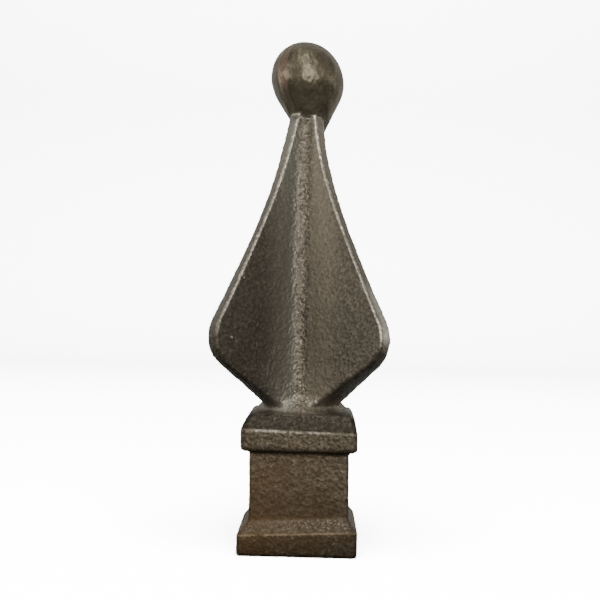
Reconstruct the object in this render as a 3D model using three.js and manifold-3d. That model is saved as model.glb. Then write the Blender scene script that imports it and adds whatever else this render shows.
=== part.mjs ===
// Cast-iron spear finial with a ball top and a square socket foot.
// Millimetres, +Z up, front face towards -Y. The origin is the centre of the underside.
import * as THREE from 'three';
import { mergeVertices } from 'three/addons/utils/BufferGeometryUtils.js';
import Module from 'manifold-3d';

// Foot: the moulded flange at the mouth of the socket
const footWidth = 38.2;
const footFaceHeight = 7.0;
const footBevelHeight = 4.0;
const footCornerRadius = 1.3;
const footUnderRound = 1.1;
const footCoveRadius = 2.6;

// Socket body and the square bar that it takes
const bodyWidth = 31.8;
const bodyHeight = 21.8;
const bodyCornerRadius = 1.0;
const barWidth = 25.0;
const barClearance = 0.6;
const socketRoof = 9.8;
const socketDraft = THREE.MathUtils.degToRad(0.6);
const socketCornerRadius = 1.2;

// Collar: the upper moulding, with a bevelled top and a flat seat for the spear
const collarWidth = 37.2;
const collarFaceHeight = 6.8;
const collarBevelHeight = 5.2;
const collarCornerRadius = 1.4;
const collarUnderRound = 1.3;
const seatWidth = 33.4;
const seatEdgeRound = 1.6;
const arrisRound = 0.5;

// Spear: four fins on the diagonals, hollow faces between them
const flareWidth = 56.7;
const flareRise = 24.0;
const tipRadiusBelow = 12.0;
const tipRadiusAbove = 16.0;
const undersideLean = THREE.MathUtils.degToRad(43.5);
const flankLean = THREE.MathUtils.degToRad(23.2);
const neckWidth = 11.8;
const neckRise = 71.2;
const neckLean = THREE.MathUtils.degToRad(8.0);
const neckTailLength = 7.0;
const sweepPullLow = 0.42;
const sweepPullHigh = 0.34;
const seatFilletRadius = 1.6;
const skirtReach = 3.2;
const skirtHeight = 5.0;
const finEdgeAtNeck = 3.0;
const finEdgeOnFlank = 2.5;
const finEdgeAtTip = 3.2;
const finEdgeAtSeat = 6.7;
const finEdgeRoundness = 0.35;
const coreWidthAtSeat = 23.2;
const coreWidthAtNeck = 9.6;
const valleyWidth = 8.4;
const valleyShareAtMost = 0.8;

// Ball
const ballWidth = 24.2;
const ballTallness = 25.8;
const ballRise = 14.5;
const ballTailLean = THREE.MathUtils.degToRad(30);

// Fineness of the facets
const valleySteps = 6;
const flatSteps = 2;
const edgeSteps = 4;
const roundSteps = 3;
const stepsBelowTip = 5;
const stepsAboveTip = 4;
const sweepSteps = 13;
const undersideSteps = 4;
const ballSteps = 11;
const ballSides = 32;

const ironColour = 0x4a453c;

// Heights above the underside, each standing on the one before it
const footTopHeight = footFaceHeight + footBevelHeight;
const collarUndersideHeight = footTopHeight + bodyHeight;
const collarTopHeight = collarUndersideHeight + collarFaceHeight;
const seatHeight = collarTopHeight + collarBevelHeight;
const flareHeight = seatHeight + flareRise;
const neckHeight = flareHeight + neckRise;
const ballCentreHeight = neckHeight + ballRise;
const socketDepth = seatHeight - socketRoof;

// The outline is walked from the underside to the neck. Each station of it holds the reach of
// the section (half its width), its height, the size of its corner edge, the depth of its hollow
// faces and how round the corner edge is, from a flat chamfer to a full quarter turn.
function station(reach, height, edge, hollow = 0, roundness = 1) {
  return { reach, height, edge, hollow, roundness };
}

// A corner of a straight-sided outline, rounded by an arc that touches both sides.
function roundedCorner(before, corner, after, radius) {
  const toBefore = before.clone().sub(corner).normalize();
  const toAfter = after.clone().sub(corner).normalize();
  const halfAngle = Math.acos(toBefore.dot(toAfter)) / 2;
  const room = Math.min(corner.distanceTo(before), corner.distanceTo(after)) / 2;
  const reach = Math.min(radius / Math.tan(halfAngle), room);
  const fitted = reach * Math.tan(halfAngle);
  const centre = toBefore.clone().add(toAfter).setLength(fitted / Math.sin(halfAngle)).add(corner);
  const start = toBefore.multiplyScalar(reach).add(corner).sub(centre);
  const end = toAfter.multiplyScalar(reach).add(corner).sub(centre);
  const startAngle = start.angle();
  let turn = end.angle() - startAngle;
  if (turn > Math.PI) turn -= 2 * Math.PI;
  if (turn < -Math.PI) turn += 2 * Math.PI;
  const points = [];
  for (let i = 0; i <= roundSteps; i++) {
    const angle = startAngle + (turn * i) / roundSteps;
    points.push(new THREE.Vector2(Math.cos(angle), Math.sin(angle)).multiplyScalar(fitted).add(centre));
  }
  return points;
}

// Points on an arc, its ends included.
function arcPoints(centre, radius, fromAngle, toAngle, steps) {
  const points = [];
  for (let i = 0; i <= steps; i++) {
    const angle = fromAngle + ((toAngle - fromAngle) * i) / steps;
    points.push(new THREE.Vector2(Math.cos(angle), Math.sin(angle)).multiplyScalar(radius).add(centre));
  }
  return points;
}

// Socket body, foot and collar: square sections with rounded corners and flat faces.
function baseStations() {
  const foot = footWidth / 2;
  const body = bodyWidth / 2;
  const collar = collarWidth / 2;
  const seat = seatWidth / 2;
  const corners = [
    { reach: foot, height: 0, round: footUnderRound, edge: footCornerRadius },
    { reach: foot, height: footFaceHeight, round: arrisRound, edge: footCornerRadius },
    { reach: body, height: footTopHeight, round: footCoveRadius, edge: bodyCornerRadius },
    { reach: body, height: collarUndersideHeight, round: arrisRound, edge: bodyCornerRadius },
    { reach: collar, height: collarUndersideHeight, round: collarUnderRound, edge: collarCornerRadius },
    { reach: collar, height: collarTopHeight, round: arrisRound, edge: collarCornerRadius },
    { reach: seat, height: seatHeight, round: seatEdgeRound, edge: collarCornerRadius },
  ];
  const path = corners.map((corner) => new THREE.Vector2(corner.reach, corner.height));
  const beforeFirst = new THREE.Vector2(0, 0);
  const afterLast = new THREE.Vector2(0, seatHeight);
  return corners.flatMap((corner, i) => {
    const before = i > 0 ? path[i - 1] : beforeFirst;
    const after = i < path.length - 1 ? path[i + 1] : afterLast;
    const arc = roundedCorner(before, path[i], after, corner.round);
    return arc.map((point) => station(point.x, point.y, corner.edge));
  });
}

// How wide the blunt edge of a fin is at a height on the spear.
function finEdge(height) {
  const { lerp, clamp, smoothstep } = THREE.MathUtils;
  if (height < flareHeight) {
    const low = seatHeight + seatFilletRadius;
    const high = flareHeight - tipRadiusBelow * Math.sin(undersideLean);
    return lerp(finEdgeAtSeat, finEdgeAtTip, clamp((height - low) / (high - low), 0, 1));
  }
  const middle = (flareHeight + neckHeight) / 2;
  if (height < middle) {
    return lerp(finEdgeAtTip, finEdgeOnFlank, smoothstep(height, flareHeight, middle));
  }
  return lerp(finEdgeOnFlank, finEdgeAtNeck, smoothstep(height, middle, neckHeight));
}

// How far the middle of a hollow face stands from the axis at a height on the spear. Just above
// the seat it runs out into a skirt.
function coreReach(height) {
  const rise = (height - seatHeight) / (neckHeight - seatHeight);
  const core = THREE.MathUtils.lerp(coreWidthAtSeat, coreWidthAtNeck, rise) / 2;
  const aboveSkirt = THREE.MathUtils.smoothstep(height, seatHeight, seatHeight + skirtHeight);
  return core + skirtReach * (1 - aboveSkirt);
}

function spearStation(point) {
  const hollow = point.x - coreReach(point.y);
  return station(point.x, point.y, finEdge(point.y), hollow, finEdgeRoundness);
}

// The spear: a fillet off the seat, the leaning underside, the round tip of the fin, and the
// long hollow sweep up to the neck.
function spearStations() {
  const centreBelow = new THREE.Vector2(flareWidth / 2 - tipRadiusBelow, flareHeight);
  const centreAbove = new THREE.Vector2(flareWidth / 2 - tipRadiusAbove, flareHeight);
  const tip = [
    ...arcPoints(centreBelow, tipRadiusBelow, -undersideLean, 0, stepsBelowTip),
    ...arcPoints(centreAbove, tipRadiusAbove, 0, flankLean, stepsAboveTip).slice(1),
  ];
  const underEnd = tip[0];

  const filletHeight = seatHeight + seatFilletRadius;
  const drop = (filletHeight - underEnd.y) * Math.sin(undersideLean);
  const filletReach = underEnd.x + (seatFilletRadius + drop) / Math.cos(undersideLean);
  const filletCentre = new THREE.Vector2(filletReach, filletHeight);
  const fillet = arcPoints(
    filletCentre,
    seatFilletRadius,
    1.5 * Math.PI,
    Math.PI - undersideLean,
    2 * roundSteps,
  );
  const filletEnd = fillet[fillet.length - 1];

  const underside = [];
  for (let i = 1; i < undersideSteps; i++) {
    underside.push(filletEnd.clone().lerp(underEnd, i / undersideSteps));
  }

  const flankStart = tip[tip.length - 1];
  const neck = new THREE.Vector2(neckWidth / 2, neckHeight);
  const run = flankStart.distanceTo(neck);
  const alongFlank = new THREE.Vector2(-Math.sin(flankLean), Math.cos(flankLean));
  const alongNeck = new THREE.Vector2(-Math.sin(neckLean), Math.cos(neckLean));
  const sweep = new THREE.CubicBezierCurve(
    flankStart,
    flankStart.clone().addScaledVector(alongFlank, run * sweepPullLow),
    neck.clone().addScaledVector(alongNeck, -run * sweepPullHigh),
    neck,
  ).getPoints(sweepSteps);
  const tail = neck.clone().addScaledVector(alongNeck, neckTailLength);

  return [...fillet, ...underside, ...tip, ...sweep.slice(1), tail].map(spearStation);
}

// How far a face has risen at a distance from its middle: round in the valley, straight past it.
function faceRise(distance, valleyHalf) {
  const inValley = Math.min(distance, valleyHalf);
  return (inValley * inValley) / (2 * valleyHalf) + distance - inValley;
}

// Where the points of a face lie, from lip to lip, closest together in the valley.
function faceStops(faceHalf, valleyHalf) {
  const { lerp } = THREE.MathUtils;
  const stops = [];
  for (let i = flatSteps; i > 0; i--) stops.push(-lerp(valleyHalf, faceHalf, i / flatSteps));
  for (let i = 0; i <= valleySteps; i++) stops.push(lerp(-valleyHalf, valleyHalf, i / valleySteps));
  for (let i = 1; i <= flatSteps; i++) stops.push(lerp(valleyHalf, faceHalf, i / flatSteps));
  return stops;
}

// One quarter of a section, a face and the corner edge after it, seen from the front: x along
// the face, y out from the axis.
function quarterSection({ reach, edge, hollow, roundness }) {
  const faceHalf = reach - edge;
  const valleyHalf = Math.min(valleyWidth / 2, faceHalf * valleyShareAtMost);
  const lip = faceRise(faceHalf, valleyHalf);
  const quarter = faceStops(faceHalf, valleyHalf).map((x) => {
    const rise = faceRise(Math.abs(x), valleyHalf) / lip;
    return new THREE.Vector2(x, reach - hollow + hollow * rise);
  });
  for (let i = 1; i < edgeSteps; i++) {
    const share = i / edgeSteps;
    const angle = (share * Math.PI) / 2;
    const flat = new THREE.Vector2(share, 1 - share);
    const round = new THREE.Vector2(Math.sin(angle), Math.cos(angle));
    const corner = flat.lerp(round, roundness).multiplyScalar(edge);
    quarter.push(corner.addScalar(faceHalf));
  }
  return quarter;
}

// The whole ring of a station, as points in space, counter-clockwise seen from above.
function ringPoints(entry) {
  const quarter = quarterSection(entry);
  const ring = [];
  for (let side = 0; side < 4; side++) {
    for (const point of quarter) {
      const x = -point.x;
      const turned = new THREE.Vector2(x, point.y).rotateAround(new THREE.Vector2(), (side * Math.PI) / 2);
      ring.push(new THREE.Vector3(turned.x, turned.y, entry.height));
    }
  }
  return ring;
}

// A closed solid through rings of equal count, with a flat cap at each end.
function loft(rings) {
  const sides = rings[0].length;
  const positions = rings.flat();
  const index = [];
  for (let row = 0; row + 1 < rings.length; row++) {
    for (let side = 0; side < sides; side++) {
      const next = (side + 1) % sides;
      const a = row * sides + side;
      const b = row * sides + next;
      const c = a + sides;
      const d = b + sides;
      index.push(a, b, d, a, d, c);
    }
  }
  [0, rings.length - 1].forEach((row) => {
    const centre = positions.length;
    positions.push(new THREE.Vector3(0, 0, rings[row][0].z));
    for (let side = 0; side < sides; side++) {
      const here = row * sides + side;
      const next = row * sides + ((side + 1) % sides);
      if (row === 0) index.push(centre, next, here);
      else index.push(centre, here, next);
    }
  });
  const geometry = new THREE.BufferGeometry().setFromPoints(positions);
  geometry.setIndex(index);
  return geometry;
}

function casting() {
  const stations = [...baseStations(), ...spearStations()];
  return loft(stations.map(ringPoints));
}

// The ball: an upright egg whose lower side runs out in a short cone inside the neck.
function ball() {
  const halfWidth = ballWidth / 2;
  const halfTall = ballTallness / 2;
  const profile = [];
  for (let i = 0; i <= ballSteps; i++) {
    const angle = -ballTailLean + ((Math.PI / 2 + ballTailLean) * i) / ballSteps;
    profile.push(new THREE.Vector2(
      i === ballSteps ? 0 : halfWidth * Math.cos(angle),
      ballCentreHeight + halfTall * Math.sin(angle),
    ));
  }
  const tailLength = profile[0].x / Math.tan(ballTailLean);
  profile.unshift(new THREE.Vector2(0, profile[0].y - tailLength));
  return new THREE.LatheGeometry(profile, ballSides).rotateX(Math.PI / 2);
}

// The socket: a square hole with a little draft, wider at its mouth and run out below it.
function socket() {
  const overrun = 1;
  const endReach = (barWidth + barClearance) / 2;
  const levels = [-overrun, socketDepth];
  const rings = levels.map((height) => {
    const reach = endReach + (socketDepth - height) * Math.tan(socketDraft);
    return ringPoints(station(reach, height, socketCornerRadius));
  });
  return loft(rings);
}

const wasm = await Module();
wasm.setup();

function toSolid(geometry) {
  const bare = geometry.clone();
  bare.deleteAttribute('normal');
  bare.deleteAttribute('uv');
  const merged = mergeVertices(bare, 1e-4);
  return new wasm.Manifold(new wasm.Mesh({
    numProp: 3,
    vertProperties: new Float32Array(merged.attributes.position.array),
    triVerts: new Uint32Array(merged.index.array),
  }));
}

function toGeometry(solid) {
  const { vertProperties, triVerts } = solid.getMesh();
  const geometry = new THREE.BufferGeometry();
  geometry.setAttribute('position', new THREE.BufferAttribute(vertProperties, 3));
  geometry.setIndex(new THREE.BufferAttribute(triVerts, 1));
  geometry.computeVertexNormals();
  return geometry;
}

const iron = new THREE.MeshStandardMaterial({ color: ironColour, roughness: 0.6, metalness: 0.7 });
const whole = toSolid(casting()).add(toSolid(ball())).subtract(toSolid(socket()));
const finial = new THREE.Mesh(toGeometry(whole), iron);
finial.name = 'finial';

const group = new THREE.Group();
group.add(finial);

export default group;
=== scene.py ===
import math
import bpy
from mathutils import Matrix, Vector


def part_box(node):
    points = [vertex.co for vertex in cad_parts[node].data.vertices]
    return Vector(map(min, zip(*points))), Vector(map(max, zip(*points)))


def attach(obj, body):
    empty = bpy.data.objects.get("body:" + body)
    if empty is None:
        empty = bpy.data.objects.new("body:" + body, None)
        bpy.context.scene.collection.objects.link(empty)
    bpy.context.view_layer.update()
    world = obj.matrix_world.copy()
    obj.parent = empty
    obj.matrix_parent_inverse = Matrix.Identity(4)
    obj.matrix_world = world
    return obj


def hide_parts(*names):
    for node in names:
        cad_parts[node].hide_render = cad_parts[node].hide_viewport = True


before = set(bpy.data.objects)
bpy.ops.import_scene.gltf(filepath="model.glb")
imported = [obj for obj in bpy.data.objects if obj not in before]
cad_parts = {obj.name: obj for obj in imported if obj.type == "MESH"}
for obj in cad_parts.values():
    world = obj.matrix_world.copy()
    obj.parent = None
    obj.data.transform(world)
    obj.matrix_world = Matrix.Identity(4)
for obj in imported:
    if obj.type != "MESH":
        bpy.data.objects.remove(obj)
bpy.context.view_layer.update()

from types import SimpleNamespace

import bpy
from mathutils import Matrix, Vector

scene = bpy.context.scene
MM = 0.001

# The view: the finial stands upright and is seen nearly square on, from twice its height away and
# a little from its right, with the eye a little below its middle. The camera leans to the left,
# so that the finial seems to lean to the right.
view_distance = 346.7 * MM
view_side_turn = math.radians(0.8)
view_eye_height = 75.9 * MM
view_aim = Vector((-0.9 * MM, 0, 81.3 * MM))
view_lean = math.radians(1.3)

camera = bpy.data.objects.new("camera", bpy.data.cameras.new("camera"))
camera.data.sensor_width = 36.0
camera.data.lens = 62.4
eye = Vector((
    view_distance * math.sin(view_side_turn),
    -view_distance * math.cos(view_side_turn),
    view_eye_height,
))
towards_aim = (view_aim - eye).to_track_quat("-Z", "Y").to_matrix().to_4x4()
camera.matrix_world = Matrix.Translation(eye) @ towards_aim @ Matrix.Rotation(view_lean, 4, "Z")
scene.collection.objects.link(camera)
scene.camera = camera


# The finial: one grey iron casting, poured in a sand mould that parts through two of the fins.
# A four-finned spear with hollow faces stands on a collared square base and carries a ball. The
# base is hollow below, to go over the end of a square bar.
cad_low, cad_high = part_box("finial")
flare_width = cad_high.x - cad_low.x
whole_height = cad_high.z

foot_width = 38.2 * MM
foot_face_height = 7.0 * MM
foot_bevel_height = 4.0 * MM
foot_corner_radius = 1.3 * MM
foot_under_round = 1.1 * MM
foot_cove_radius = 2.6 * MM

body_width = 31.8 * MM
body_height = 21.8 * MM
body_corner_radius = 1.0 * MM
socket_width = 25.6 * MM
socket_mouth_width = 26.3 * MM
socket_depth = 35.0 * MM
socket_corner_radius = 1.2 * MM

collar_width = 37.2 * MM
collar_face_height = 6.8 * MM
collar_bevel_height = 5.2 * MM
collar_corner_radius = 1.4 * MM
collar_under_round = 1.3 * MM
seat_width = 33.4 * MM
seat_edge_round = 1.6 * MM
arris_round = 0.5 * MM

flare_rise = 24.0 * MM
tip_radius_below = 12.0 * MM
tip_radius_above = 16.0 * MM
underside_lean = math.radians(43.5)
flank_lean = math.radians(23.2)
neck_width = 11.8 * MM
neck_rise = 71.2 * MM
neck_lean = math.radians(8.0)
neck_tail_length = 7.0 * MM
sweep_pull_low = 0.42
sweep_pull_high = 0.34
seat_fillet_radius = 1.6 * MM
skirt_reach = 3.6 * MM
skirt_height = 5.0 * MM
fin_edge_at_neck = 3.0 * MM
fin_edge_on_flank = 2.5 * MM
fin_edge_at_tip = 3.2 * MM
fin_edge_at_seat = 6.7 * MM
fin_edge_roundness = 0.35
core_width_at_seat = 23.2 * MM
core_width_at_neck = 9.6 * MM
valley_width = 8.4 * MM
valley_share_at_most = 0.8

ball_width = 24.2 * MM
ball_tallness = 25.8 * MM
ball_tail_lean = math.radians(30)

foot_top_height = foot_face_height + foot_bevel_height
collar_underside_height = foot_top_height + body_height
collar_top_height = collar_underside_height + collar_face_height
seat_height = collar_top_height + collar_bevel_height
flare_height = seat_height + flare_rise
neck_height = flare_height + neck_rise
ball_centre_height = whole_height - ball_tallness / 2

# How finely each stretch of the outline is stepped.
corner_steps = 8
curve_steps = 16
underside_steps = 40
sweep_steps = 120
tail_steps = 6
ball_steps = 64

# What the sand mould left a little out of true: the body and seat lie to the right and the
# spear's middle to the left, the ball leans to the left and its tail to the back. The foot rises
# to the right, and the collar's arris falls, about a line a little left of the axis. Below their
# tips the two front fins are blunt by different amounts.
body_offset = 0.4 * MM
seat_offset = 0.6 * MM
spear_bow = -0.55 * MM
ball_lean = 0.085
ball_tail_setback = 2.2 * MM
foot_tilt = 0.045
collar_tilt = -0.022
tilt_line = -9.5 * MM
foot_tilt_run_out = 8.0 * MM
collar_tilt_run_in = 2.0 * MM
front_left_edge = 0.75
front_right_edge = 1.35

# Where the mould's parting seam was ground off the ball, at the left of its front.
seam_heading = math.radians(42)
seam_width = 3.3 * MM


def smooth_step(low, high, value):
    share = min(max((value - low) / (high - low), 0), 1)
    return share * share * (3 - 2 * share)


def mix(a, b, share):
    return a + (b - a) * share


def arc_points(centre, radius, from_angle, to_angle, steps):
    angles = [mix(from_angle, to_angle, i / steps) for i in range(steps + 1)]
    return [centre + radius * Vector((math.cos(a), math.sin(a))) for a in angles]


def rounded_corner(before, corner, after, radius):
    """A corner of a straight-sided outline, rounded by an arc that touches both sides."""
    to_before = (before - corner).normalized()
    to_after = (after - corner).normalized()
    half_angle = to_before.angle(to_after) / 2
    room = min((before - corner).length, (after - corner).length) / 2
    reach = min(radius / math.tan(half_angle), room)
    fitted = reach * math.tan(half_angle)
    centre = corner + (to_before + to_after).normalized() * fitted / math.sin(half_angle)
    start = corner + to_before * reach - centre
    end = corner + to_after * reach - centre
    start_angle = math.atan2(start.y, start.x)
    turn = math.remainder(math.atan2(end.y, end.x) - start_angle, 2 * math.pi)
    return arc_points(centre, fitted, start_angle, start_angle + turn, corner_steps)


def station(point, edge, hollow=0.0, crown=1.0, roundness=0.0, finned=0.0):
    """One level of the outline: how far the section reaches, and at what height. The edge is half
    a corner's width and the crown how round the corner is; the hollow is how deep the faces sink.
    """
    return {
        "reach": point.x,
        "height": point.y,
        "edge": min(edge, point.x),
        "hollow": hollow,
        "crown": crown,
        "roundness": roundness,
        "finned": finned,
    }


def along(a, b, steps):
    """The points between two ends, without the ends."""
    return [a.lerp(b, i / steps) for i in range(1, steps)]


def base_stations():
    """The socket from its blind end down, then the foot, body, collar and seat from below up."""
    corners = [
        (socket_width / 2, socket_depth, 0.8 * MM, socket_corner_radius),
        (socket_mouth_width / 2, 0, arris_round, socket_corner_radius),
        (foot_width / 2, 0, foot_under_round, foot_corner_radius),
        (foot_width / 2, foot_face_height, arris_round, foot_corner_radius),
        (body_width / 2, foot_top_height, foot_cove_radius, body_corner_radius),
        (body_width / 2, collar_underside_height, arris_round, body_corner_radius),
        (collar_width / 2, collar_underside_height, collar_under_round, collar_corner_radius),
        (collar_width / 2, collar_top_height, arris_round, collar_corner_radius),
        (seat_width / 2, seat_height, seat_edge_round, collar_corner_radius),
    ]
    path = [Vector((reach, height)) for reach, height, _, _ in corners]
    path = [Vector((0, socket_depth)), *path, Vector((0, seat_height))]
    made = [station(path[0], socket_corner_radius)]
    for i, (_, _, radius, edge) in enumerate(corners, start=1):
        arc = rounded_corner(path[i - 1], path[i], path[i + 1], radius)
        made += [station(point, edge) for point in arc]
    return made


def fin_edge(height):
    """How wide the blunt edge of a fin is at a height on the spear."""
    if height < flare_height:
        low = seat_height + seat_fillet_radius
        high = flare_height - tip_radius_below * math.sin(underside_lean)
        share = min(max((height - low) / (high - low), 0), 1)
        return mix(fin_edge_at_seat, fin_edge_at_tip, share)
    middle = (flare_height + neck_height) / 2
    if height < middle:
        share = smooth_step(flare_height, middle, height)
        return mix(fin_edge_at_tip, fin_edge_on_flank, share)
    return mix(fin_edge_on_flank, fin_edge_at_neck, smooth_step(middle, neck_height, height))


def core_reach(height):
    """How far the middle of a hollow face stands from the axis. It runs out into a low skirt."""
    rise = (height - seat_height) / (neck_height - seat_height)
    core = mix(core_width_at_seat, core_width_at_neck, rise) / 2
    return core + skirt_reach * (1 - smooth_step(seat_height, seat_height + skirt_height, height))


def spear_stations():
    """A fillet off the seat, the leaning underside, the round tip of the fin, and the long sweep."""
    flare_reach = flare_width / 2
    below = Vector((flare_reach - tip_radius_below, flare_height))
    above = Vector((flare_reach - tip_radius_above, flare_height))
    tip = arc_points(below, tip_radius_below, -underside_lean, 0, curve_steps)
    tip += arc_points(above, tip_radius_above, 0, flank_lean, curve_steps)[1:]
    under_end = tip[0]

    fillet_height = seat_height + seat_fillet_radius
    drop = (fillet_height - under_end.y) * math.sin(underside_lean)
    fillet_reach = under_end.x + (seat_fillet_radius + drop) / math.cos(underside_lean)
    fillet = arc_points(
        Vector((fillet_reach, fillet_height)),
        seat_fillet_radius,
        1.5 * math.pi,
        math.pi - underside_lean,
        curve_steps,
    )

    alongside_flank = Vector((-math.sin(flank_lean), math.cos(flank_lean)))
    alongside_neck = Vector((-math.sin(neck_lean), math.cos(neck_lean)))
    neck = Vector((neck_width / 2, neck_height))
    run = (neck - tip[-1]).length
    pull_low = tip[-1] + alongside_flank * run * sweep_pull_low
    pull_high = neck - alongside_neck * run * sweep_pull_high
    sweep = []
    for i in range(1, sweep_steps + 1):
        share = i / sweep_steps
        first = tip[-1].lerp(pull_low, share)
        second = pull_low.lerp(pull_high, share)
        third = pull_high.lerp(neck, share)
        sweep.append(first.lerp(second, share).lerp(second.lerp(third, share), share))
    tail = neck + alongside_neck * neck_tail_length

    underside = along(fillet[-1], under_end, underside_steps)
    made = []
    for point in [*fillet, *underside, *tip, *sweep, *along(neck, tail, tail_steps), tail]:
        hollow = point.x - core_reach(point.y)
        made.append(station(point, fin_edge(point.y), hollow, fin_edge_roundness, finned=1.0))
    made.append(station(Vector((0, tail.y)), 0))
    return made


def ball_stations():
    """An upright egg whose lower side runs out in a short cone inside the neck."""
    start = -ball_tail_lean
    made = []
    for i in range(ball_steps + 1):
        angle = mix(start, math.pi / 2, i / ball_steps)
        reach = max(ball_width / 2 * math.cos(angle), 0)
        height = ball_centre_height + ball_tallness / 2 * math.sin(angle)
        made.append(station(Vector((reach, height)), 0, roundness=1.0))
    tail_length = made[0]["reach"] / math.tan(ball_tail_lean)
    made.insert(0, station(Vector((0, made[0]["height"] - tail_length)), 0, roundness=1.0))
    return made


def falling_step(low, high, value):
    return 1 - smooth_step(low, high, value)


def out_of_true(entry):
    """Adds to a station how far the casting wanders there, sideways and out of level."""
    height = entry["height"]
    mid_body = mix(foot_top_height, collar_underside_height, 0.5)
    low_neck = mix(flare_height, neck_height, 0.8)
    above_seat = smooth_step(seat_height, flare_height, height)
    in_body = smooth_step(foot_face_height, foot_top_height, height)
    in_body *= falling_step(mid_body, collar_top_height, height)
    at_seat = smooth_step(collar_top_height, seat_height, height) * (1 - above_seat)
    entry["sideways"] = spear_bow * above_seat
    entry["sideways"] *= falling_step(low_neck, neck_height + neck_tail_length, height)
    entry["sideways"] += body_offset * in_body + seat_offset * at_seat
    entry["backwards"] = 0
    if entry["roundness"]:
        above_centre = height - ball_centre_height
        entry["sideways"] = -ball_lean * above_centre
        entry["backwards"] = ball_tail_setback * falling_step(-ball_width / 2, 0, above_centre)
    on_foot = smooth_step(0, foot_face_height, height)
    on_foot *= falling_step(foot_face_height, foot_top_height + foot_tilt_run_out, height)
    arris_low = collar_underside_height + collar_tilt_run_in
    on_arris = smooth_step(arris_low, collar_top_height, height)
    on_arris *= falling_step(collar_top_height, seat_height, height)
    entry["tilt"] = foot_tilt * on_foot + collar_tilt * on_arris
    entry["uneven"] = smooth_step(seat_height, seat_height + seat_fillet_radius, height)
    entry["uneven"] *= falling_step(flare_height - tip_radius_below, flare_height, height)
    return entry


stations = base_stations() + spear_stations() + ball_stations()
stations = [out_of_true(entry) for entry in stations]
outline = bpy.data.meshes.new("finial_outline")
outline.from_pydata([(entry["reach"], 0, entry["height"]) for entry in stations], [], [])
for name in stations[0]:
    attribute = outline.attributes.new(name, "FLOAT", "POINT")
    attribute.data.foreach_set("value", [entry[name] for entry in stations])


class Wiring:
    """Adds nodes to one tree. A value is a number, a vector, or the output of another node."""

    def __init__(self, tree):
        self.tree = tree

    def node(self, kind, values=None, **settings):
        made = self.tree.nodes.new(kind)
        for name, setting in settings.items():
            setattr(made, name, setting)
        for socket, value in (values or {}).items():
            self.feed(made.inputs[socket], value)
        return made

    def feed(self, socket, value):
        if isinstance(value, bpy.types.NodeSocket):
            self.tree.links.new(value, socket)
        else:
            socket.default_value = value

    def math(self, operation, *values):
        return self.node("ShaderNodeMath", dict(enumerate(values)), operation=operation).outputs[0]

    def vector_math(self, operation, *values):
        made = self.node("ShaderNodeVectorMath", operation=operation)
        for i, value in enumerate(values):
            socket = made.inputs["Scale"] if operation == "SCALE" and i == 1 else made.inputs[i]
            self.feed(socket, value)
        return made.outputs["Value" if operation in ("DOT_PRODUCT", "DISTANCE") else 0]

    def ramp(self, value, low, high, to_low=0.0, to_high=1.0):
        """value between low and high, turned smoothly into a share between two ends."""
        ends = {"Value": value, "From Min": low, "From Max": high}
        ends.update({"To Min": to_low, "To Max": to_high})
        return self.node("ShaderNodeMapRange", ends, interpolation_type="SMOOTHSTEP").outputs[0]

    def band(self, value, low, high, soft):
        """One between low and high, and zero a little way outside them."""
        rising = self.ramp(value, low - soft, low)
        return self.both(rising, self.ramp(value, high, high + soft, 1.0, 0.0))

    def both(self, *masks):
        """Masks and factors multiplied together."""
        product = masks[0]
        for mask in masks[1:]:
            product = self.math("MULTIPLY", product, mask)
        return product

    def either(self, *masks):
        """The largest of some masks."""
        largest = masks[0]
        for mask in masks[1:]:
            largest = self.math("MAXIMUM", largest, mask)
        return largest

    def blend(self, share, a, b):
        """a where the share is none, and b where it is whole."""
        return self.node("ShaderNodeMix", {0: share, 2: a, 3: b}, data_type="FLOAT").outputs[0]

    def blend_colour(self, share, a, b):
        return self.node("ShaderNodeMix", {0: share, 6: a, 7: b}, data_type="RGBA").outputs[2]

    def point(self, x, y, z):
        return self.node("ShaderNodeCombineXYZ", {0: x, 1: y, 2: z}).outputs[0]

    def noise(self, place, size, detail, roughness):
        values = {"Vector": place, "Scale": 1 / size, "Detail": detail, "Roughness": roughness}
        return self.node("ShaderNodeTexNoise", values).outputs[0]

    def attribute(self, name):
        return self.node("ShaderNodeAttribute", attribute_name=name).outputs["Fac"]

    def stored(self, geometry, name, value):
        values = {"Geometry": geometry, "Name": name, "Value": value}
        storing = self.node("GeometryNodeStoreNamedAttribute", values, data_type="FLOAT")
        return storing.outputs[0]

    def finish(self, geometry, material, result):
        """Makes a geometry tree's end: real geometry, dressed in its material."""
        real = self.node("GeometryNodeRealizeInstances", {"Geometry": geometry})
        dressing = {"Geometry": real.outputs[0], "Material": material}
        dressed = self.node("GeometryNodeSetMaterial", dressing)
        self.feed(result["Geometry"], dressed.outputs[0])


def new_geometry_tree(name, inputs):
    """A geometry tree with named inputs, each given as its name, kind of socket and value."""
    tree = bpy.data.node_groups.new(name, "GeometryNodeTree")
    tree.interface.new_socket("Geometry", in_out="INPUT", socket_type="NodeSocketGeometry")
    for label, kind, value in inputs:
        socket = tree.interface.new_socket(label, in_out="INPUT", socket_type=kind)
        if value is not None:
            socket.default_value = value
    tree.interface.new_socket("Geometry", in_out="OUTPUT", socket_type="NodeSocketGeometry")
    group_in = tree.nodes.new("NodeGroupInput").outputs
    group_out = tree.nodes.new("NodeGroupOutput").inputs
    return Wiring(tree), group_in, group_out


def set_inputs(modifier, **values):
    """Sets a modifier's inputs, found by their names in its tree, by each socket's identifier."""
    for item in modifier.node_group.interface.items_tree:
        key = item.name.lower().replace(" ", "_")
        if item.item_type == "SOCKET" and item.in_out == "INPUT" and key in values:
            modifier[item.identifier] = values[key]


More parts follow.
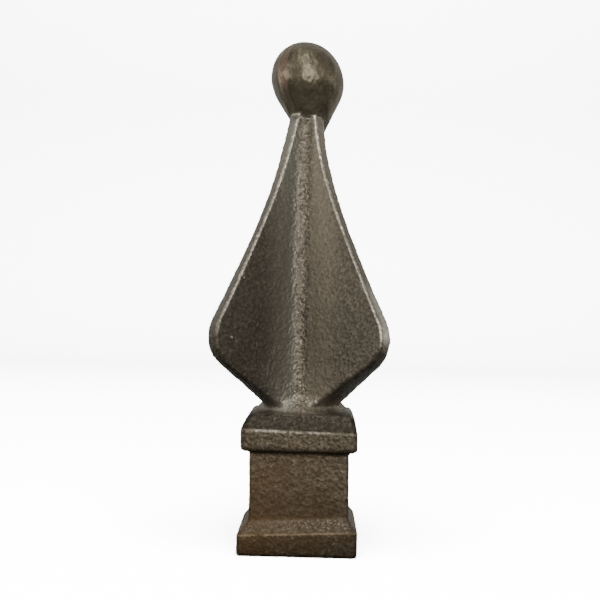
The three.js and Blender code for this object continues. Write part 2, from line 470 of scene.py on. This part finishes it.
# A part without fins counts as lying face_clear inside a fin's lip, and the skin of the neck turns
# into that of the ball over ball_blend. The least sizes only keep a division from being by zero
# where a section closes to a point.
face_clear = 5.0 * MM
ball_blend = 4.0 * MM
weld_distance = 0.005 * MM
least_half_width = 0.001 * MM
least_rise = 0.0001 * MM


def section_point(add, given, across, section):
    """A point of one quarter of a section: along its face, out from the axis, and past its lip."""
    reach, edge, hollow, crown = section
    outward = add.math("ABSOLUTE", across)
    face_share = given["Face Share"]
    on_face = add.math("MINIMUM", add.math("DIVIDE", outward, face_share), 1)
    past_face = add.math("MAXIMUM", add.math("SUBTRACT", outward, face_share), 0)
    on_corner = add.math("DIVIDE", past_face, add.math("SUBTRACT", 1, face_share))
    on_corner = add.math("MULTIPLY", on_corner, 0.5)

    face_half = add.math("SUBTRACT", reach, edge)
    face_x = add.math("MULTIPLY", face_half, on_face)
    valley_half = add.math("MULTIPLY", given["Valley Width"], 0.5)
    room = add.math("MULTIPLY", face_half, given["Valley Share At Most"])
    valley_half = add.math("MAXIMUM", add.math("MINIMUM", valley_half, room), least_half_width)

    def rise(x):
        """Round in the valley, straight past it."""
        in_valley = add.math("MINIMUM", x, valley_half)
        bowl = add.math("DIVIDE", add.math("MULTIPLY", in_valley, in_valley), valley_half)
        return add.math("ADD", add.math("MULTIPLY", bowl, 0.5), add.math("SUBTRACT", x, in_valley))

    whole_rise = add.math("MAXIMUM", rise(face_half), least_rise)
    share = add.math("DIVIDE", rise(face_x), whole_rise)
    dip = add.math("MULTIPLY", hollow, add.math("SUBTRACT", 1, share))
    face_y = add.math("SUBTRACT", reach, dip)
    quarter_turn = add.math("MULTIPLY", on_corner, math.pi / 2)
    corner_x = add.blend(crown, on_corner, add.math("SINE", quarter_turn))
    fall = add.math("SUBTRACT", 1, add.math("COSINE", quarter_turn))
    corner_y = add.blend(crown, on_corner, fall)
    section_x = add.math("MULTIPLY_ADD", edge, corner_x, face_x)
    return (
        add.math("MULTIPLY", section_x, add.math("SIGN", across)),
        add.math("SUBTRACT", face_y, add.math("MULTIPLY", edge, corner_y)),
        add.math("SUBTRACT", section_x, face_half),
    )


def sweep_tree():
    """Sweeps the outline round: a star or square section from its station at every level."""
    add, given, result = new_geometry_tree("sweep_round_outline", [
        ("Outline Points", "NodeSocketInt", 2),
        ("Steps Round", "NodeSocketInt", 256),
        ("Face Share", "NodeSocketFloat", 0.75),
        ("Valley Width", "NodeSocketFloat", valley_width),
        ("Valley Share At Most", "NodeSocketFloat", valley_share_at_most),
        ("Tilt Line", "NodeSocketFloat", tilt_line),
        ("Front Left Edge", "NodeSocketFloat", front_left_edge),
        ("Front Right Edge", "NodeSocketFloat", front_right_edge),
        ("Material", "NodeSocketMaterial", None),
    ])
    rows = given["Outline Points"]
    around = given["Steps Round"]
    columns = add.math("ADD", around, 1)
    grid = add.node("GeometryNodeMeshGrid", {"Vertices X": columns, "Vertices Y": rows})
    index = add.node("GeometryNodeInputIndex").outputs[0]
    row = add.math("MODULO", index, rows)
    column = add.math("FLOOR", add.math("DIVIDE", add.math("ADD", index, 0.5), rows))

    def at_station(name):
        named = add.node("GeometryNodeInputNamedAttribute", {"Name": name}, data_type="FLOAT")
        values = {"Geometry": given["Geometry"], "Value": named.outputs[0], "Index": row}
        return add.node("GeometryNodeSampleIndex", values, data_type="FLOAT").outputs[0]

    turn = add.math("DIVIDE", add.math("MULTIPLY", column, 4), around)
    side = add.math("FLOOR", turn)
    corner = add.math("MODULO", add.math("FLOOR", add.math("ADD", turn, 0.5)), 4)
    reach = at_station("reach")
    edge = at_station("edge")
    uneven = at_station("uneven")
    for number, share in enumerate((given["Front Left Edge"], given["Front Right Edge"])):
        here = add.math("MULTIPLY", add.math("COMPARE", corner, number, 0.1), uneven)
        edge = add.math("MULTIPLY", edge, add.blend(here, 1.0, share))
    across = add.math("SUBTRACT", add.math("MULTIPLY", add.math("FRACT", turn), 2), 1)
    section = (reach, edge, at_station("hollow"), at_station("crown"))
    along_face, out, past_lip = section_point(add, given, across, section)
    past_lip = add.blend(at_station("finned"), -face_clear, past_lip)

    heading = add.math("MULTIPLY", add.math("SUBTRACT", side, 1), math.pi / 2)
    cosine = add.math("COSINE", heading)
    sine = add.math("SINE", heading)
    square_x = add.math("MULTIPLY", out, cosine)
    square_x = add.math("SUBTRACT", square_x, add.math("MULTIPLY", along_face, sine))
    square_y = add.math("MULTIPLY", out, sine)
    square_y = add.math("MULTIPLY_ADD", along_face, cosine, square_y)
    swing = add.math("MULTIPLY_ADD", across, math.pi / 4, heading)
    round_x = add.math("MULTIPLY", reach, add.math("COSINE", swing))
    round_y = add.math("MULTIPLY", reach, add.math("SINE", swing))
    roundness = at_station("roundness")
    x = add.blend(roundness, square_x, round_x)
    y = add.blend(roundness, square_y, round_y)
    from_tilt_line = add.math("SUBTRACT", x, given["Tilt Line"])
    lift = add.math("MULTIPLY", at_station("tilt"), from_tilt_line)
    place = add.point(
        add.math("ADD", x, at_station("sideways")),
        add.math("ADD", y, at_station("backwards")),
        add.math("ADD", at_station("height"), lift),
    )
    shape = add.stored(grid.outputs[0], "past_lip", past_lip)
    swept = add.node("GeometryNodeSetPosition", {"Geometry": shape, "Position": place})
    welding = {"Geometry": swept.outputs[0], "Distance": weld_distance}
    closed = add.node("GeometryNodeMergeByDistance", welding)
    add.finish(closed.outputs[0], given["Material"], result)
    return add.tree


# Beads of iron from holes in the sand, and dents, in the front: how far to the right of the axis,
# how high, how wide and how proud.
front_marks = (
    (-19.2 * MM, 88.4 * MM, 1.0 * MM, -0.50 * MM),
    (-18.3 * MM, 87.6 * MM, 0.5 * MM, 0.45 * MM),
    (-21.4 * MM, 69.0 * MM, 0.6 * MM, 0.40 * MM),
    (-19.6 * MM, 66.0 * MM, 0.9 * MM, 0.20 * MM),
    (5.2 * MM, 48.4 * MM, 0.9 * MM, 0.70 * MM),
    (7.9 * MM, 45.9 * MM, 0.9 * MM, 0.50 * MM),
    (-0.3 * MM, 48.5 * MM, 0.6 * MM, 0.35 * MM),
    (-5.0 * MM, 46.1 * MM, 0.7 * MM, 0.40 * MM),
    (13.9 * MM, 27.0 * MM, 0.7 * MM, 0.40 * MM),
    (0.6 * MM, 152.9 * MM, 1.0 * MM, -0.30 * MM),
    (-0.8 * MM, 159.6 * MM, 0.7 * MM, -0.20 * MM),
    (5.8 * MM, 153.6 * MM, 0.6 * MM, -0.25 * MM),
    (7.4 * MM, 155.2 * MM, 0.6 * MM, -0.20 * MM),
    (4.2 * MM, 150.6 * MM, 0.8 * MM, -0.20 * MM),
)

# The share across the seam that a spot away from it is given.
off_seam = 3.0


def ball_reach(add, given, up):
    """How far the ball stands from its own axis, by the height above its centre: egg, then cone."""
    radius = given["Ball Radius"]
    half_height = given["Ball Half Height"]
    lean = given["Tail Lean"]
    up_share = add.math("DIVIDE", up, half_height)
    egg = add.math("SUBTRACT", 1, add.math("MULTIPLY", up_share, up_share))
    egg = add.math("MULTIPLY", radius, add.math("SQRT", add.math("MAXIMUM", egg, 0)))
    tail_top = add.math("MULTIPLY", add.math("SINE", lean), half_height)
    tail_reach = add.math("MULTIPLY", add.math("COSINE", lean), radius)
    below = add.math("ADD", up, tail_top)
    cone = add.math("MULTIPLY_ADD", below, add.math("TANGENT", lean), tail_reach)
    return add.blend(add.math("LESS_THAN", below, 0.0), egg, cone)


def seam_half_width(add, given, up):
    """Half the width of the strip ground off the ball, narrower towards both its ends."""
    up_share = add.math("DIVIDE", up, given["Ball Half Height"])
    low_end = add.ramp(up_share, -0.85, -0.1, 0.35, 1.0)
    high_end = add.ramp(up_share, 0.9, 0.5, 0.6, 1.0)
    return add.both(given["Seam Half Width"], low_end, high_end)


def ground_seam(add, given, parts, on_ball):
    """The strip ground flat along the mould's seam: the share across it, and the way it moves."""
    heading = given["Seam Heading"]
    sine = add.math("SINE", heading)
    cosine = add.math("COSINE", heading)
    outward = add.point(add.math("MULTIPLY", sine, -1), add.math("MULTIPLY", cosine, -1), 0.0)
    sideways = add.point(add.math("MULTIPLY", cosine, -1), sine, 0.0)
    up = add.math("SUBTRACT", parts[2], given["Ball Centre"])
    ball_foot = add.math("MULTIPLY", given["Ball Radius"], -1)
    on_tail = add.ramp(up, ball_foot, 0.0, 1.0, 0.0)
    true_place = add.point(
        add.math("MULTIPLY_ADD", up, given["Ball Lean"], parts[0]),
        add.math("SUBTRACT", parts[1], add.math("MULTIPLY", on_tail, given["Tail Setback"])),
        0.0,
    )
    reach = add.vector_math("DOT_PRODUCT", true_place, outward)
    across = add.vector_math("DOT_PRODUCT", true_place, sideways)
    level_reach = ball_reach(add, given, up)
    half_width = seam_half_width(add, given, up)
    level = add.math("MULTIPLY", level_reach, level_reach)
    level = add.math("SUBTRACT", level, add.math("MULTIPLY", half_width, half_width))
    limit = add.math("SQRT", add.math("MAXIMUM", level, 0))
    on_seam = add.both(
        on_ball,
        add.ramp(level_reach, 3 * MM, 7 * MM),
        add.math("GREATER_THAN", reach, 0.0),
    )
    share = add.math("DIVIDE", across, half_width)
    excess = add.math("MAXIMUM", add.math("SUBTRACT", reach, limit), 0)
    lip = add.both(add.ramp(share, 0.75, 1.05), add.ramp(share, 1.5, 1.15), given["Seam Lip"])
    rise = add.math("MULTIPLY", add.math("SUBTRACT", lip, excess), on_seam)
    return add.blend(on_seam, off_seam, share), add.vector_math("SCALE", outward, rise)


def skin_tree():
    """The skin that the sand left: grains, a slow swell, pits and beads, and the ground seam."""
    add, given, result = new_geometry_tree("sand_cast_skin", [
        ("Swept Shape", "NodeSocketObject", None),
        ("Grain Height", "NodeSocketFloat", 0.42 * MM),
        ("Grain Size", "NodeSocketFloat", 1.4 * MM),
        ("Swell Height", "NodeSocketFloat", 0.3 * MM),
        ("Swell Size", "NodeSocketFloat", 8.0 * MM),
        ("Ball Calm", "NodeSocketFloat", 0.8),
        ("Ball Start", "NodeSocketFloat", neck_height),
        ("Ball Radius", "NodeSocketFloat", ball_width / 2),
        ("Ball Half Height", "NodeSocketFloat", ball_tallness / 2),
        ("Ball Centre", "NodeSocketFloat", ball_centre_height),
        ("Ball Lean", "NodeSocketFloat", ball_lean),
        ("Tail Lean", "NodeSocketFloat", ball_tail_lean),
        ("Tail Setback", "NodeSocketFloat", ball_tail_setback),
        ("Seam Heading", "NodeSocketFloat", seam_heading),
        ("Seam Half Width", "NodeSocketFloat", seam_width / 2),
        ("Seam Lip", "NodeSocketFloat", 0.10 * MM),
        ("Material", "NodeSocketMaterial", None),
    ])
    place = add.node("GeometryNodeInputPosition").outputs[0]
    normal = add.node("GeometryNodeInputNormal").outputs[0]
    parts = add.node("ShaderNodeSeparateXYZ", {0: place}).outputs
    swept = add.node("GeometryNodeObjectInfo", {"Object": given["Swept Shape"]})
    past_lip = add.node("GeometryNodeInputNamedAttribute", {"Name": "past_lip"}, data_type="FLOAT")
    nearest = add.node(
        "GeometryNodeSampleNearestSurface",
        {"Mesh": swept.outputs["Geometry"], "Value": past_lip.outputs[0], "Sample Position": place},
        data_type="FLOAT",
    )
    shape = add.stored(given["Geometry"], "past_lip", nearest.outputs[0])

    ball_start = given["Ball Start"]
    on_ball = add.ramp(parts[2], ball_start, add.math("ADD", ball_start, ball_blend))
    calm = add.math("SUBTRACT", 1, add.math("MULTIPLY", on_ball, given["Ball Calm"]))

    def wave(size, detail, height):
        value = add.noise(place, 1.0, detail, 0.6)
        add.feed(value.node.inputs["Scale"], add.math("DIVIDE", 1, size))
        return add.math("MULTIPLY", add.math("SUBTRACT", value, 0.5), height)

    grain = add.math("MULTIPLY", wave(given["Grain Size"], 1.5, given["Grain Height"]), calm)
    swell = wave(given["Swell Size"], 1.0, given["Swell Height"])
    in_front = add.math("LESS_THAN", parts[1], 0.0)
    seen_from_front = add.point(parts[0], 0.0, parts[2])
    marks = 0.0
    for across, height, width, proud in front_marks:
        distance = add.vector_math("DISTANCE", seen_from_front, (across, 0, height))
        mark = add.math("MULTIPLY", add.ramp(distance, width, 0.0, 0.0, proud), in_front)
        marks = add.math("ADD", marks, mark)
    shape = add.stored(shape, "mark", marks)
    offset = add.math("ADD", add.math("ADD", grain, swell), marks)

    seam_share, ground = ground_seam(add, given, parts, on_ball)
    shape = add.stored(shape, "seam_share", seam_share)
    moved = add.vector_math("ADD", add.vector_math("SCALE", normal, offset), ground)
    shape = add.node("GeometryNodeSetPosition", {"Geometry": shape, "Offset": moved}).outputs[0]

    def stand_out(steps):
        """How far a point stands out of the skin round it."""
        blurring = {"Value": place, "Iterations": steps}
        settled = add.node("GeometryNodeBlurAttribute", blurring, data_type="FLOAT_VECTOR")
        moved_by = add.vector_math("SUBTRACT", place, settled.outputs[0])
        return add.vector_math("DOT_PRODUCT", normal, moved_by)

    shape = add.stored(shape, "arris", stand_out(6))
    shape = add.stored(shape, "grain_tip", stand_out(2))
    smooth = add.node("GeometryNodeSetShadeSmooth", {"Geometry": shape, "Shade Smooth": True})
    add.finish(smooth.outputs[0], given["Material"], result)
    return add.tree


# The tones of the iron, from dark to pale, then rusted, ground, rubbed and worn bright. The dark tone
# also serves for painted shade, the pale and cool tones are painted highlight and sheen, and the worn
# tone is bright wear and painted highlight together.
iron_dark = (0.030, 0.025, 0.017, 1)
iron_olive = (0.108, 0.090, 0.062, 1)
iron_painted_cool_sheen = (0.125, 0.125, 0.100, 1)
iron_smooth = (0.160, 0.135, 0.085, 1)
iron_painted_highlight = (0.19, 0.162, 0.115, 1)
iron_rust = (0.110, 0.062, 0.024, 1)
iron_ground = (0.175, 0.118, 0.080, 1)
iron_rubbed = (0.30, 0.23, 0.14, 1)
iron_wear_and_highlight = (0.44, 0.40, 0.33, 1)

patch_size = 14 * MM
drift_size = 4 * MM
grit_size = 0.8 * MM
peel_size = 1.1 * MM
speck_size = 0.65 * MM
painted_glint_size = 0.75 * MM
blotch_size = 5 * MM
dimple_size = 3.2 * MM
relief_depth = 0.5 * MM


def read_spot(add):
    """What the look of a spot depends on: its place, how the skin lies there, and some noises."""
    spot = SimpleNamespace()
    spot.place = add.node("ShaderNodeTexCoord").outputs["Object"]
    spot.x, spot.y, spot.z = add.node("ShaderNodeSeparateXYZ", {0: spot.place}).outputs
    normal = add.node("ShaderNodeNewGeometry").outputs["Normal"]
    spot.normal_up = add.node("ShaderNodeSeparateXYZ", {0: normal}).outputs[2]
    spot.arris = add.attribute("arris")
    spot.past_lip = add.attribute("past_lip")
    spot.mark = add.attribute("mark")
    spot.seam_share = add.attribute("seam_share")

    spot.patches = add.noise(spot.place, patch_size, 3.0, 0.6)
    spot.drift = add.noise(spot.place, drift_size, 2.0, 0.5)
    spot.grit = add.noise(spot.place, grit_size, 2.0, 0.6)
    peel = add.noise(spot.place, peel_size, 1.0, 0.5)
    spot.relief = add.math("ADD", add.both(peel, 0.6), add.both(spot.grit, 0.4))
    spot.grainy = add.ramp(spot.grit, 0.40, 0.58, 0.4, 1.0)

    tilt_reach = add.math("SUBTRACT", spot.x, tilt_line)
    spot.collar_height = add.math("SUBTRACT", spot.z, add.both(tilt_reach, collar_tilt))
    spot.foot_height = add.math("SUBTRACT", spot.z, add.both(tilt_reach, foot_tilt))
    spot.from_valley = add.math("MINIMUM", add.math("ABSOLUTE", spot.x), add.math("ABSOLUTE", spot.y))
    spot.to_left = add.ramp(spot.x, 2 * MM, -2 * MM)
    spot.low = add.ramp(spot.z, 50 * MM, 2 * MM)

    spot.on_ball = add.ramp(spot.z, neck_height, neck_height + ball_blend)
    spot.off_ball = add.math("SUBTRACT", 1.0, spot.on_ball)
    spot.on_faces = add.both(spot.off_ball, add.math("GREATER_THAN", spot.z, seat_height))
    spot.on_skirt = add.both(
        add.band(spot.z, seat_height - 0.1 * MM, seat_height + skirt_height, 1.2 * MM),
        add.ramp(spot.from_valley, 11 * MM, 6 * MM),
    )
    slope_low = foot_face_height + 0.7 * MM
    spot.on_slope = add.band(spot.foot_height, slope_low, foot_top_height - 0.3 * MM, 0.7 * MM)
    return spot


def fin_wear_and_highlight(add, spot):
    """The lips of the fins are worn to a bright line that is also painted highlight, and the right
    front tip is rubbed all over and carries painted highlight.
    """
    above_tip = add.math("SUBTRACT", spot.z, add.both(spot.to_left, 5 * MM))
    above_tip = add.ramp(above_tip, flare_height - 5 * MM, flare_height + 3 * MM)
    # A bright line of wear along the lips, which is also painted highlight.
    lip_wear_and_highlight = add.both(
        add.band(spot.past_lip, 0.0, 0.6 * MM, 0.45 * MM),
        above_tip,
        add.ramp(spot.drift, 0.3, 0.5, 0.6, 1.0),
        spot.grainy,
    )
    # Painted highlight, with some rubbing, all over the right front tip.
    tip_wear_and_highlight = add.both(
        add.math("GREATER_THAN", spot.x, 0.0),
        add.math("LESS_THAN", spot.y, 0.0),
        add.band(spot.z, flare_height - 1 * MM, flare_height + 11 * MM, 9 * MM),
        add.ramp(spot.drift, 0.3, 0.55, 0.8, 1.2),
    )
    rubbed = add.both(
        add.ramp(spot.past_lip, 0.5 * MM, 1.2 * MM),
        above_tip,
        add.blend(tip_wear_and_highlight, 0.22, 1.0),
    )
    return add.either(add.both(lip_wear_and_highlight, 0.85), rubbed)


def worn_line(add, spot, height, level, depth, soft):
    """A worn line along an arris: it wavers with the grit and ends a little above the level."""
    wavering = add.math("ADD", height, add.both(add.math("SUBTRACT", spot.grit, 0.5), 0.8 * MM))
    return add.band(wavering, level - depth, level + 0.1 * MM, soft)


def collar_line(add, spot):
    """The collar's upper arris, worn bright in places and less so towards its right end."""
    return add.both(
        worn_line(add, spot, spot.collar_height, collar_top_height, 0.3 * MM, 0.4 * MM),
        add.ramp(spot.drift, 0.38, 0.56, 0.1, 0.45),
        add.ramp(spot.x, 18 * MM, 8 * MM, 0.3, 1.0),
        spot.grainy,
    )


def foot_line(add, spot):
    """The foot's upper arris, rubbed brown."""
    return add.both(
        worn_line(add, spot, spot.foot_height, foot_face_height, 0.2 * MM, 0.3 * MM),
        add.ramp(spot.drift, 0.38, 0.56, 0.05, 0.3),
    )


def bright_specks(add, spot):
    """Bright specks: worn grains in the foot's cove and on the grain tips, worn beads, specks on the
    skirt that are painted highlight as well as wear, and painted glints along the valleys.
    """
    cove_low = foot_face_height + 1.2 * MM
    in_cove = add.both(
        add.band(spot.foot_height, cove_low, foot_top_height - 0.8 * MM, 0.8 * MM),
        add.ramp(spot.x, -15 * MM, 8 * MM, 0.3, 0.7),
    )
    # On the skirt these specks are painted highlight as well as worn grains.
    speckled = add.both(
        add.ramp(add.noise(spot.place, speck_size, 1.0, 0.5), 0.52, 0.68),
        add.either(spot.on_skirt, in_cove),
        0.36,
    )
    tips = add.both(
        add.ramp(add.attribute("grain_tip"), 0.005 * MM, 0.06 * MM),
        add.ramp(spot.relief, 0.45, 0.6),
        add.ramp(add.math("ABSOLUTE", spot.arris), 0.16 * MM, 0.06 * MM),
        spot.off_ball,
        0.12,
    )
    # Painted glints beside the valleys, where the rough skin catches the light.
    painted_glints = add.both(
        add.ramp(add.noise(spot.place, painted_glint_size, 1.0, 0.5), 0.54, 0.70),
        add.ramp(spot.from_valley, 5 * MM, 1.5 * MM, 0.07, 0.22),
        spot.on_faces,
    )
    beads = add.ramp(spot.mark, 0.1 * MM, 0.3 * MM)
    return add.either(speckled, tips, painted_glints, beads)


def seam_lip(add, spot):
    """The edge beside the strip that was ground off the ball, bright in places."""
    return add.both(
        add.band(spot.seam_share, 1.0, 1.25, 0.2),
        add.ramp(spot.drift, 0.4, 0.6, 0.12, 0.55),
    )


def skin_colour(add, spot):
    """Olive brown, dark between the grains, rusty low on the left; painted highlight by the valleys
    and on the skirt; painted shade by the fins, in downward hollows and in dents.
    """
    # Painted highlight: the faces are paler beside each valley, where the light glances off them, and
    # cooler on the left.
    painted_valley_sheen = add.both(
        spot.on_faces,
        add.ramp(spot.from_valley, 1.2 * MM, 3.0 * MM),
        add.ramp(spot.from_valley, 15 * MM, 4 * MM),
    )
    # Painted shade: the faces darken towards the fins, more on the left, where less light falls.
    painted_fin_side_shade = add.both(
        spot.on_faces,
        add.ramp(spot.from_valley, 4 * MM, 14 * MM),
        add.ramp(spot.x, -4 * MM, 2 * MM, 1.0, 0.2),
    )
    rust = add.both(
        spot.low,
        add.ramp(spot.x, 24 * MM, -20 * MM, 0.35, 1.0),
        add.ramp(spot.patches, 0.2, 0.7, 0.6, 1.0),
        add.blend(spot.on_slope, 1.0, 0.5),
    )
    # Painted shade in hollows of the skin that face down, away from the valleys.
    painted_hollow_shade = add.both(
        add.ramp(spot.arris, -0.08 * MM, -0.4 * MM),
        add.ramp(spot.normal_up, 0.4, -0.1),
        add.ramp(spot.from_valley, 6 * MM, 10 * MM, 0.1, 1.0),
    )
    # Painted shade in the dents.
    painted_dent_shade = add.ramp(spot.mark, -0.08 * MM, -0.25 * MM)
    blotches = add.ramp(add.noise(spot.place, blotch_size, 3.0, 0.6), 0.42, 0.62)
    ground_low = neck_height + 5.5 * MM
    ground = add.both(
        add.band(spot.seam_share, -1.0, 1.0, 0.08),
        add.ramp(spot.z, ground_low, ground_low + 2 * MM, 0.0, 0.85),
    )
    colour = iron_olive
    for share, tone in (
        (add.ramp(spot.relief, 0.58, 0.42, 0.0, 0.6), iron_dark),
        (add.ramp(spot.patches, 0.35, 0.7, 0.0, 0.3), iron_dark),
        (add.both(spot.on_ball, 0.7), iron_smooth),
        (add.both(painted_valley_sheen, 0.55), iron_painted_highlight),
        # Painted highlight: the skirt is paler, as if lit from above the front.
        (add.both(spot.on_skirt, 0.3), iron_painted_highlight),
        (add.both(painted_valley_sheen, spot.to_left, 0.6), iron_painted_cool_sheen),
        (add.both(painted_fin_side_shade, 0.48), iron_dark),
        (add.both(rust, 0.9), iron_rust),
        (add.both(add.either(painted_hollow_shade, painted_dent_shade), 0.8), iron_dark),
        (add.both(blotches, spot.on_ball, 0.45), iron_dark),
        (ground, iron_ground),
    ):
        colour = add.blend_colour(share, colour, tone)
    return colour


def painted_shade_kept(add, spot):
    """How much of its light the colour keeps under painted shade, from the foot up to the seat:
    darker towards the bottom, on the collar and most on its bevel.
    """
    kept = add.ramp(spot.z, foot_top_height, collar_underside_height, 0.60, 0.92)
    kept = add.both(kept, add.ramp(spot.foot_height, 0.0, foot_face_height, 0.6, 1.0))
    kept = add.blend(spot.on_slope, kept, 1.0)
    collar_start = collar_underside_height - 0.5 * MM
    kept = add.blend(add.ramp(spot.z, collar_start, collar_start + 1 * MM), kept, 0.78)
    bevel_low = collar_top_height + 0.5 * MM
    on_bevel = add.band(spot.collar_height, bevel_low, seat_height - 0.6 * MM, 0.5 * MM)
    kept = add.blend(on_bevel, kept, 0.34)
    return add.blend(add.ramp(spot.z, seat_height - 0.8 * MM, seat_height + 0.4 * MM), kept, 1.0)


def cast_iron():
    """Bare oiled iron: dark olive brown, worn bright on its arrises, with painted highlight on the
    fins' lips and painted shade low down and under the ball, browner low on the base.
    """
    material = bpy.data.materials.new("cast_iron")
    material.use_nodes = True
    material.node_tree.nodes.clear()
    add = Wiring(material.node_tree)
    spot = read_spot(add)
    rubbed = foot_line(add, spot)
    # Wear, together with painted highlight on the fins' lips, the skirt and along the valleys.
    wear_and_highlight = add.either(
        fin_wear_and_highlight(add, spot),
        collar_line(add, spot),
        bright_specks(add, spot),
        seam_lip(add, spot),
    )
    # Painted shade where the neck runs up under the ball.
    painted_shade_under_ball = add.both(
        add.ramp(spot.z, neck_height + 4.8 * MM, neck_height + 5.8 * MM),
        add.math("GREATER_THAN", spot.past_lip, -0.9 * face_clear),
    )
    # Painted shade darkens the colour low on the base, on the collar and on its bevel.
    colour = add.vector_math("SCALE", skin_colour(add, spot), painted_shade_kept(add, spot))
    colour = add.blend_colour(rubbed, colour, iron_rubbed)
    colour = add.blend_colour(wear_and_highlight, colour, iron_wear_and_highlight)
    colour = add.blend_colour(add.both(painted_shade_under_ball, 0.85), colour, iron_dark)

    bright = add.either(wear_and_highlight, add.both(rubbed, 0.6))
    roughness = add.blend(bright, 0.52, 0.40)
    roughness = add.math("ADD", roughness, add.both(spot.low, 0.12))
    roughness = add.blend(add.both(spot.on_ball, 0.8), roughness, 0.40)

    upright = add.vector_math("MULTIPLY", spot.place, (1.3, 1.3, 0.8))
    dimples = add.noise(upright, dimple_size, 2.0, 0.5)
    ball_height = add.math("ADD", dimples, add.both(spot.relief, 0.15))
    height = add.blend(spot.on_ball, spot.relief, ball_height)
    bump = add.node("ShaderNodeBump", {"Strength": 1.0, "Distance": relief_depth, "Height": height})
    shader = add.node("ShaderNodeBsdfPrincipled", {
        "Base Color": colour,
        "Metallic": add.blend(bright, 0.7, 0.9),
        "Roughness": roughness,
        "Specular IOR Level": add.ramp(spot.z, collar_top_height, seat_height + 2 * MM, 0.15, 0.5),
        "Normal": bump.outputs[0],
    })
    output = add.node("ShaderNodeOutputMaterial")
    add.feed(output.inputs["Surface"], shader.outputs[0])
    return material


skin_step = 0.63 * MM
iron = cast_iron()


def finished_mesh(worker):
    """The mesh that a helper object's modifiers make, once the helper is gone."""
    depsgraph = bpy.context.evaluated_depsgraph_get()
    made = bpy.data.meshes.new_from_object(worker.evaluated_get(depsgraph), depsgraph=depsgraph)
    bpy.data.objects.remove(worker)
    return made


outline_sweep = bpy.data.objects.new("outline_sweep", outline)
scene.collection.objects.link(outline_sweep)
sweep = outline_sweep.modifiers.new("sweep", "NODES")
sweep.node_group = sweep_tree()
set_inputs(sweep, outline_points=len(stations), material=iron)
swept_mesh = finished_mesh(outline_sweep)

swept_shape = bpy.data.objects.new("swept_shape", swept_mesh)
casting = bpy.data.objects.new("casting", swept_mesh.copy())
scene.collection.objects.link(swept_shape)
scene.collection.objects.link(casting)
union = casting.modifiers.new("union", "REMESH")
union.mode = "VOXEL"
union.voxel_size = skin_step
union.use_smooth_shade = True
skin = casting.modifiers.new("skin", "NODES")
skin.node_group = skin_tree()
set_inputs(skin, swept_shape=swept_shape, material=iron)
finial_mesh = finished_mesh(casting)
bpy.data.objects.remove(swept_shape)
finial_mesh.name = "cast_finial"
finial = bpy.data.objects.new("cast_finial", finial_mesh)
scene.collection.objects.link(finial)
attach(finial, "root")
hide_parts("finial")


# The stage: one white sheet that runs on as floor and wall, with a wide curve between them, and
# reaches well past the picture.
sheet_half_width = 3.0
sheet_front = -2.0
sheet_curve_start = 1.2
sheet_curve_radius = 0.5
sheet_curve_steps = 16
sheet_top = 3.0
sheet_white = (0.86, 0.86, 0.86, 1)
sheet_roughness = 0.9

sheet = bpy.data.meshes.new("stage")
sheet_profile = [(sheet_front, 0.0)]
for i in range(sheet_curve_steps + 1):
    angle = math.radians(-90 + 90 * i / sheet_curve_steps)
    sheet_profile.append((
        sheet_curve_start + sheet_curve_radius * math.cos(angle),
        sheet_curve_radius + sheet_curve_radius * math.sin(angle),
    ))
sheet_profile.append((sheet_curve_start + sheet_curve_radius, sheet_top))
points = [(side * sheet_half_width, y, z) for y, z in sheet_profile for side in (-1, 1)]
faces = [(2 * i, 2 * i + 1, 2 * i + 3, 2 * i + 2) for i in range(len(sheet_profile) - 1)]
sheet.from_pydata(points, [], faces)
sheet.polygons.foreach_set("use_smooth", [True] * len(sheet.polygons))
stage = bpy.data.objects.new("stage", sheet)
scene.collection.objects.link(stage)
paper = bpy.data.materials.new("white_paper")
paper.use_nodes = True
paper_shader = paper.node_tree.nodes["Principled BSDF"]
paper_shader.inputs["Base Color"].default_value = sheet_white
paper_shader.inputs["Roughness"].default_value = sheet_roughness
sheet.materials.append(paper)
stage.visible_diffuse = False
stage.visible_glossy = False


# The lights: a tall soft oval beside the eye, a small one high above it, a broad one at each side,
# and a strong one that falls on the sheet alone and turns it white. Sizes are in metres.
lit_middle = (0, 0, 0.09)
sheet_middle = (0, 1.1, 0.2)


def soft_light(name, place, aim, size, watts):
    light = bpy.data.lights.new(name, "AREA")
    light.shape = "ELLIPSE"
    light.size, light.size_y = size
    light.energy = watts
    holder = bpy.data.objects.new(name, light)
    holder.location = place
    holder.rotation_euler = (Vector(aim) - Vector(place)).to_track_quat("-Z", "Y").to_euler()
    scene.collection.objects.link(holder)
    return holder


soft_light("beside_the_eye", (0.09, -0.75, 0.28), lit_middle, (0.27, 0.70), 8)
soft_light("above_the_eye", (-0.08, -0.42, 0.95), lit_middle, (0.14, 0.14), 2.6)
soft_light("from_the_left", (-0.75, -0.30, 0.22), lit_middle, (0.5, 0.5), 3.2)
soft_light("from_the_right", (0.80, -0.10, 0.15), lit_middle, (0.4, 0.5), 1.3)
sheet_light = soft_light("on_the_sheet", (0, -0.6, 2.0), sheet_middle, (2.0, 2.0), 1000)
sheet_only = bpy.data.collections.new("sheet_only")
sheet_only.objects.link(stage)
sheet_light.light_linking.receiver_collection = sheet_only

# The room round the stage is pale behind, dim above and in front, and darkest below.
world = bpy.data.worlds.new("studio")
scene.world = world
world.use_nodes = True
add = Wiring(world.node_tree)
way = add.node("ShaderNodeTexCoord").outputs["Generated"]
_, way_back, way_up = add.node("ShaderNodeSeparateXYZ", {0: way}).outputs
behind = add.both(add.ramp(way_back, 0.0, 0.6, 0.0, 0.8), add.ramp(way_up, -0.8, -0.3))
above = add.ramp(way_up, -0.6, 0.5, 0.02, 0.09)
background = world.node_tree.nodes["Background"]
background.inputs["Color"].default_value = (1, 1, 1, 1)
add.feed(background.inputs["Strength"], add.math("ADD", behind, above))

bpy.context.view_layer.update()
